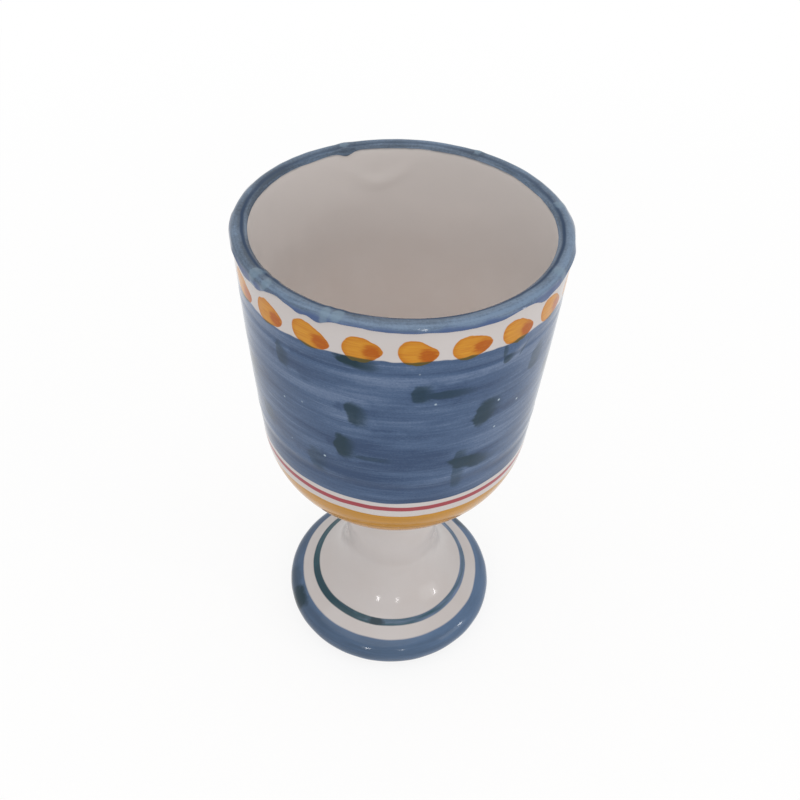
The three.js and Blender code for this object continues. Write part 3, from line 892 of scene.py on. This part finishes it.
def painted_foot_glaze(sizes, colours):
    """White stem with a green-blue ring and a blue edge brushed on as the foot turned, both made lighter to
    the right by painted light.
    """
    material, tree, shader = new_material("painted_foot_glaze", 0.12)
    place = goblet_place(tree)
    radius = place["radius"]
    edge_inner = (sizes.foot_radius - sizes.blue_edge) / MM
    ring_outer = edge_inner - sizes.white_ring / MM
    ring_inner = ring_outer - sizes.green_ring / MM
    white = warm_white(tree, place, colours.white)
    low_part = node(tree, "Math", (place["height"], RINGS_TOP), operation="LESS_THAN")
    inner_shift = wandering(tree, place, 24.0, 0.4, 63.0)
    inner_shift = node(tree, "Math", (place["side"], 0.004, inner_shift), operation="MULTIPLY_ADD")
    outer_shift = wandering(tree, place, 24.0, 0.4, 65.0)
    outer_shift = node(tree, "Math", (place["side"], -0.004, outer_shift), operation="MULTIPLY_ADD")
    inside = above(tree, radius, ring_inner, inner_shift, 0.2)
    outside = above(tree, radius, ring_outer, outer_shift, 0.2)
    ring = node(tree, "Math", (inside, outside), operation="SUBTRACT")
    ring = node(tree, "Math", (ring, low_part), operation="MULTIPLY")
    ring_drag = streaks(tree, place, 15.0, 0.9, 3.0, 67.0)
    # Painted light: the green ring gets lighter to the right
    ring_drag = node(tree, "Math", (place["side"], 0.007, ring_drag), operation="MULTIPLY_ADD")
    ring_tone_and_light = node(tree, "MapRange", (ring_drag, 0.35, 0.75))
    ring_paint = painted(tree, shade(colours.green, 0.8), (ring_tone_and_light, colours.wash_light))
    blue = painted_edge(tree, place, radius, edge_inner, 0.3, 22.0, 0.5, 69.0)
    blue = node(tree, "Math", (blue, low_part), operation="MULTIPLY")
    blue_drag = streaks(tree, place, 20.0, 1.4, 4.0, 73.0)
    blue_tone_and_light = node(tree, "MapRange", (blue_drag, 0.3, 0.7, 0.0, 0.7))
    thin_edge = node(tree, "MapRange", (radius, edge_inner, edge_inner + 2.6, 0.55, 0.0))
    blue_tone_and_light = node(tree, "Math", (blue_tone_and_light, thin_edge), operation="ADD")
    # Painted light: the blue edge gets lighter to the right
    blue_tone_and_light = node(tree, "Math", (place["side"], 0.012, blue_tone_and_light), operation="MULTIPLY_ADD")
    light_blue = shade(colours.foot_blue, 1.25)
    blue_paint = painted(tree, shade(colours.foot_blue, 0.75), (blue_tone_and_light, light_blue))
    paint = painted(tree, white, (ring, ring_paint), (blue, blue_paint))
    ragged = streaks(tree, place, 5.0, 5.0, 4.0, 75.0)
    coloured = node(tree, "Math", (ring, blue), operation="MAXIMUM")
    for angle, middle, half_width, half_height, strength in FOOT_MARKS:
        off = node(tree, "Math", (radius, middle), operation="SUBTRACT")
        mark = ring_spot(tree, place, angle, middle, off, half_width, half_height, 0.35, ragged)
        mark = node(tree, "Math", (mark, coloured), operation="MULTIPLY")
        mark = node(tree, "Math", (mark, strength), operation="MULTIPLY")
        paint = painted(tree, paint, (mark, colours.wash_mark))
    ochre_foot = sizes.ochre_foot / MM - 1.1
    ochre = painted_edge(tree, place, place["height"], ochre_foot, 0.15, 22.0, 0.4, 21.0)
    paint = painted(tree, paint, (ochre, colours.ochre))
    rings = node(tree, "TexNoise", {"W": radius, "Scale": 1.3, "Detail": 3.0}, noise_dimensions="1D")
    rings = node(tree, "Math", (rings, low_part), operation="MULTIPLY")
    wave = node(tree, "Math", (rings, 0.16, glaze_wave(tree, place, 6.0)), operation="MULTIPLY_ADD")
    gloss = node(tree, "MapRange", (place["height"], GLOSSY_BELOW, DULLER_ABOVE, 0.42, 0.16))
    tree.links.new(gloss, shader.inputs["Specular IOR Level"])
    paint_shader(tree, shader, paint, wave, 0.05)
    return material


def bare_clay(colours):
    """Fired red-buff earthenware, bare and matt, with fine grog and turning lines."""
    material, tree, shader = new_material("fired_earthenware", 0.85)
    place = goblet_place(tree)
    grain = node(tree, "TexNoise", {"Vector": place["mm"], "Scale": 1.6, "Detail": 6.0})
    paint = painted(tree, shade(colours.clay, 0.75), (grain, shade(colours.clay, 1.2)))
    paint_shader(tree, shader, paint, grain, 0.12, 0.8)
    return material


def finish_piece(piece, material, nodes):
    """Dresses a new piece and lets it stand for its CAD nodes."""
    piece.data.materials.append(material)
    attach(piece, BODY)
    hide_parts(*nodes)


def dress_node(name, material):
    """Gives a CAD piece a better material."""
    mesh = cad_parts[name].data
    mesh.materials.clear()
    mesh.materials.append(material)


# Faces round each coat, most on the lip for its beads
BOWL_FACES = 256
LIP_FACES = 448
LINING_FACES = 192
FOOT_FACES = 224


class GOBLET_OT_bowl_coat(bpy.types.Operator):
    """The painted glaze on the outside of the bowl"""

    bl_idname = "goblet.bowl_coat"
    bl_label = "Painted Bowl"

    def execute(self, context):
        sizes = context.scene.goblet_sizes
        outside = Profile(sizes).bowl_outside()
        inside = inward(outside, sizes.glaze)[::-1]
        piece = turned("painted_bowl_coat", outside, inside, BOWL_FACES, wall_relief)
        dabs = [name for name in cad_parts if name.startswith("orange_dab_")]
        bands = ["dab_band_glaze", "body_glaze", "upper_white_stripe", "red_line"]
        bands += ["lower_white_stripe", "ochre_band"]
        material = painted_bowl_glaze(sizes, context.scene.goblet_colours)
        finish_piece(piece, material, bands + dabs)
        return {"FINISHED"}


class GOBLET_OT_lip_coat(bpy.types.Operator):
    """The thick blue glaze over the lip"""

    bl_idname = "goblet.lip_coat"
    bl_label = "Lip Glaze"

    def execute(self, context):
        sizes = context.scene.goblet_sizes
        outside = Profile(sizes).lip()
        top = sizes.rim - 1.0 * MM
        inner = sizes.lip_radius - sizes.lip_width + 0.8 * MM
        outer = sizes.lip_radius - sizes.lip_proud - 0.9 * MM
        inside = [
            Vector((inner, top - 0.2 * MM)),
            Vector((inner + 0.6 * MM, top)),
            Vector((outer - 0.6 * MM, top)),
            Vector((outer, top - 0.6 * MM)),
            Vector((outer, sizes.lip_foot + 0.5 * MM)),
        ]
        piece = turned("lip_coat", outside, inside, LIP_FACES, lip_relief)
        material = lip_glaze(sizes, context.scene.goblet_colours)
        finish_piece(piece, material, ["lip_glaze"])
        return {"FINISHED"}


class GOBLET_OT_lining_coat(bpy.types.Operator):
    """The white glaze inside the bowl and inside the hollow foot"""

    bl_idname = "goblet.lining_coat"
    bl_label = "Bowl Lining"

    def execute(self, context):
        sizes = context.scene.goblet_sizes
        line = Profile(sizes).lining()
        back = inward(line, sizes.glaze)
        back[-1].x = 0
        piece = turned("white_lining_coat", line, back[::-1], LINING_FACES, lining_relief)
        material = lining_glaze(sizes, context.scene.goblet_colours)
        finish_piece(piece, material, ["lining_glaze"])
        dress_node("hollow_glaze", material)
        return {"FINISHED"}


class GOBLET_OT_foot_coat(bpy.types.Operator):
    """The glaze on the stem and foot"""

    bl_idname = "goblet.foot_coat"
    bl_label = "Stem and Foot"

    def execute(self, context):
        sizes = context.scene.goblet_sizes
        outside = Profile(sizes).stem_outside()
        inside = inward(outside, sizes.glaze)[::-1]
        piece = turned("painted_foot_coat", outside, inside, FOOT_FACES, foot_relief)
        material = painted_foot_glaze(sizes, context.scene.goblet_colours)
        nodes = ["stem_glaze", "foot_green_ring", "foot_white_ring", "foot_edge_glaze"]
        finish_piece(piece, material, nodes)
        return {"FINISHED"}


class GOBLET_OT_clay(bpy.types.Operator):
    """The bare clay: the standing ring under the foot, and the pieces that the glaze hides"""

    bl_idname = "goblet.clay"
    bl_label = "Clay"

    def execute(self, context):
        clay = bare_clay(context.scene.goblet_colours)
        for name in ("bowl_body", "joint_slip", "joint_coil", "pedestal_body"):
            dress_node(name, clay)
        return {"FINISHED"}


# The camera, fitted to the photo's outline of the goblet: its place in metres and its lens in mm
CAMERA_PLACE = Vector((0, -0.20007, 0.28461))
CAMERA_TURN = math.radians(0.333)
CAMERA_PITCH = math.radians(43.394)
CAMERA_ROLL = math.radians(2.533)
CAMERA_LENS = 40.29
# The lamps point at the goblet's middle. Each is a name, angle from the front, elevation, distance, width,
# height and power.
GOBLET_MIDDLE = Vector((0, 0, 0.08))
LAMPS = (
    ("soft_lamp_over", -45, 82, 1.1, 1.2, 1.2, 4.0),
    ("soft_lamp_right", 66, 16, 1.0, 0.5, 0.4, 0.9),
    ("small_lamp_left", -17, 21, 1.0, 0.045, 0.16, 0.6),
    ("small_lamp_right", 14, 23, 1.0, 0.04, 0.14, 0.4),
    ("small_lamp_side", 75, 20, 1.0, 0.05, 0.08, 0.4),
)
# Half the floor's width, and how far out the goblet's shadow starts and stops fading into white, in metres
FLOOR_HALF = 30
SHADOW_FADE = (0.1, 0.6)
# How strongly the studio lights the goblet, where 1 is how bright it looks
WORLD_LIGHT = 0.72


class GOBLET_OT_stage(bpy.types.Operator):
    """The pale floor, soft lamps and camera"""

    bl_idname = "goblet.stage"
    bl_label = "Stage"

    def execute(self, context):
        scene = context.scene
        scene.view_settings.view_transform = "Standard"
        bm = bmesh.new()
        bmesh.ops.create_grid(bm, x_segments=8, y_segments=8, size=FLOOR_HALF)
        mesh = bpy.data.meshes.new("floor")
        bm.to_mesh(mesh)
        bm.free()
        floor = bpy.data.objects.new("floor", mesh)
        scene.collection.objects.link(floor)
        mesh.materials.append(pale_floor())
        pale_world(scene)
        for name, angle, elevation, distance, width, height, power in LAMPS:
            lamp = bpy.data.lights.new(name, "AREA")
            lamp.shape = "RECTANGLE"
            lamp.size = width
            lamp.size_y = height
            lamp.energy = power
            turn, tilt = math.radians(angle), math.radians(elevation)
            level = Vector((math.sin(turn), -math.cos(turn), 0))
            side = level * math.cos(tilt) + Vector((0, 0, math.sin(tilt)))
            holder = bpy.data.objects.new(name, lamp)
            holder.location = GOBLET_MIDDLE + side * distance
            holder.rotation_euler = (-side).to_track_quat("-Z", "Y").to_euler()
            scene.collection.objects.link(holder)
        camera = bpy.data.cameras.new("camera")
        camera.lens = CAMERA_LENS
        camera.sensor_width = 36
        camera.clip_start = 0.01
        holder = bpy.data.objects.new("camera", camera)
        holder.matrix_world = camera_matrix()
        scene.collection.objects.link(holder)
        scene.camera = holder
        return {"FINISHED"}


def camera_matrix():
    """The camera's place and turn."""
    ahead = Vector(
        (
            math.sin(CAMERA_TURN) * math.cos(CAMERA_PITCH),
            math.cos(CAMERA_TURN) * math.cos(CAMERA_PITCH),
            -math.sin(CAMERA_PITCH),
        )
    )
    level = Vector((math.cos(CAMERA_TURN), -math.sin(CAMERA_TURN), 0))
    upright = level.cross(ahead)
    right = math.cos(CAMERA_ROLL) * level + math.sin(CAMERA_ROLL) * upright
    up = -math.sin(CAMERA_ROLL) * level + math.cos(CAMERA_ROLL) * upright
    turn = Matrix((right, up, -ahead)).transposed().to_4x4()
    return Matrix.Translation(CAMERA_PLACE) @ turn


def seen_or_mirrored(tree):
    """1 for rays that come from the camera or from a reflection."""
    rays = node(tree, "LightPath").node
    return node(
        tree, "Math", (rays.outputs["Is Camera Ray"], rays.outputs["Is Glossy Ray"]), operation="MAXIMUM"
    )


def pale_floor():
    """Plain white paper that keeps a faint shadow."""
    material = bpy.data.materials.new("pale_floor")
    material.use_nodes = True
    tree = material.node_tree
    tree.nodes.clear()
    paper = node(tree, "BsdfDiffuse", {"Color": (*linear("#FAF9F8"), 1.0)})
    white = node(tree, "Emission", {"Color": (1, 1, 1, 1), "Strength": 1.0})
    place = node(tree, "TexCoord", out="Object")
    distance = node(tree, "VectorMath", (place,), out=1, operation="LENGTH")
    fade = node(tree, "MapRange", (distance, *SHADOW_FADE, 0.84, 1.0), interpolation_type="SMOOTHSTEP")
    share = node(tree, "Math", (seen_or_mirrored(tree), fade), operation="MULTIPLY")
    mixed = node(tree, "MixShader", (share, paper, white))
    output = tree.nodes.new("ShaderNodeOutputMaterial")
    tree.links.new(mixed, output.inputs["Surface"])
    return material


def pale_world(scene):
    """An even pale studio, seen as white."""
    world = bpy.data.worlds.new("pale_studio")
    scene.world = world
    world.use_nodes = True
    tree = world.node_tree
    background = tree.nodes["Background"]
    background.inputs["Color"].default_value = (1, 1, 1, 1)
    strength = node(tree, "MapRange", (seen_or_mirrored(tree), 0.0, 1.0, WORLD_LIGHT, 1.0))
    tree.links.new(strength, background.inputs["Strength"])


OPERATORS = (
    GOBLET_OT_clay,
    GOBLET_OT_foot_coat,
    GOBLET_OT_bowl_coat,
    GOBLET_OT_lip_coat,
    GOBLET_OT_lining_coat,
    GOBLET_OT_stage,
)


class GOBLET_PT_panel(bpy.types.Panel):
    """Lists the goblet's pieces, sizes and colours"""

    bl_idname = "GOBLET_PT_panel"
    bl_label = "Painted Goblet"
    bl_space_type = "VIEW_3D"
    bl_region_type = "UI"
    bl_category = "Goblet"

    def draw(self, context):
        for operator in OPERATORS:
            self.layout.operator(operator.bl_idname)
        for group in (context.scene.goblet_sizes, context.scene.goblet_colours):
            box = self.layout.box()
            for name in group.__annotations__:
                box.prop(group, name)


CLASSES = (GobletSizes, GobletColours, *OPERATORS, GOBLET_PT_panel)


def register():
    for cls in CLASSES:
        bpy.utils.register_class(cls)
    bpy.types.Scene.goblet_sizes = bpy.props.PointerProperty(type=GobletSizes)
    bpy.types.Scene.goblet_colours = bpy.props.PointerProperty(type=GobletColours)


def unregister():
    del bpy.types.Scene.goblet_colours
    del bpy.types.Scene.goblet_sizes
    for cls in reversed(CLASSES):
        bpy.utils.unregister_class(cls)


def main():
    register()
    for operator in OPERATORS:
        group, name = operator.bl_idname.split(".")
        getattr(getattr(bpy.ops, group), name)()


if __name__ == "__main__":
    main()
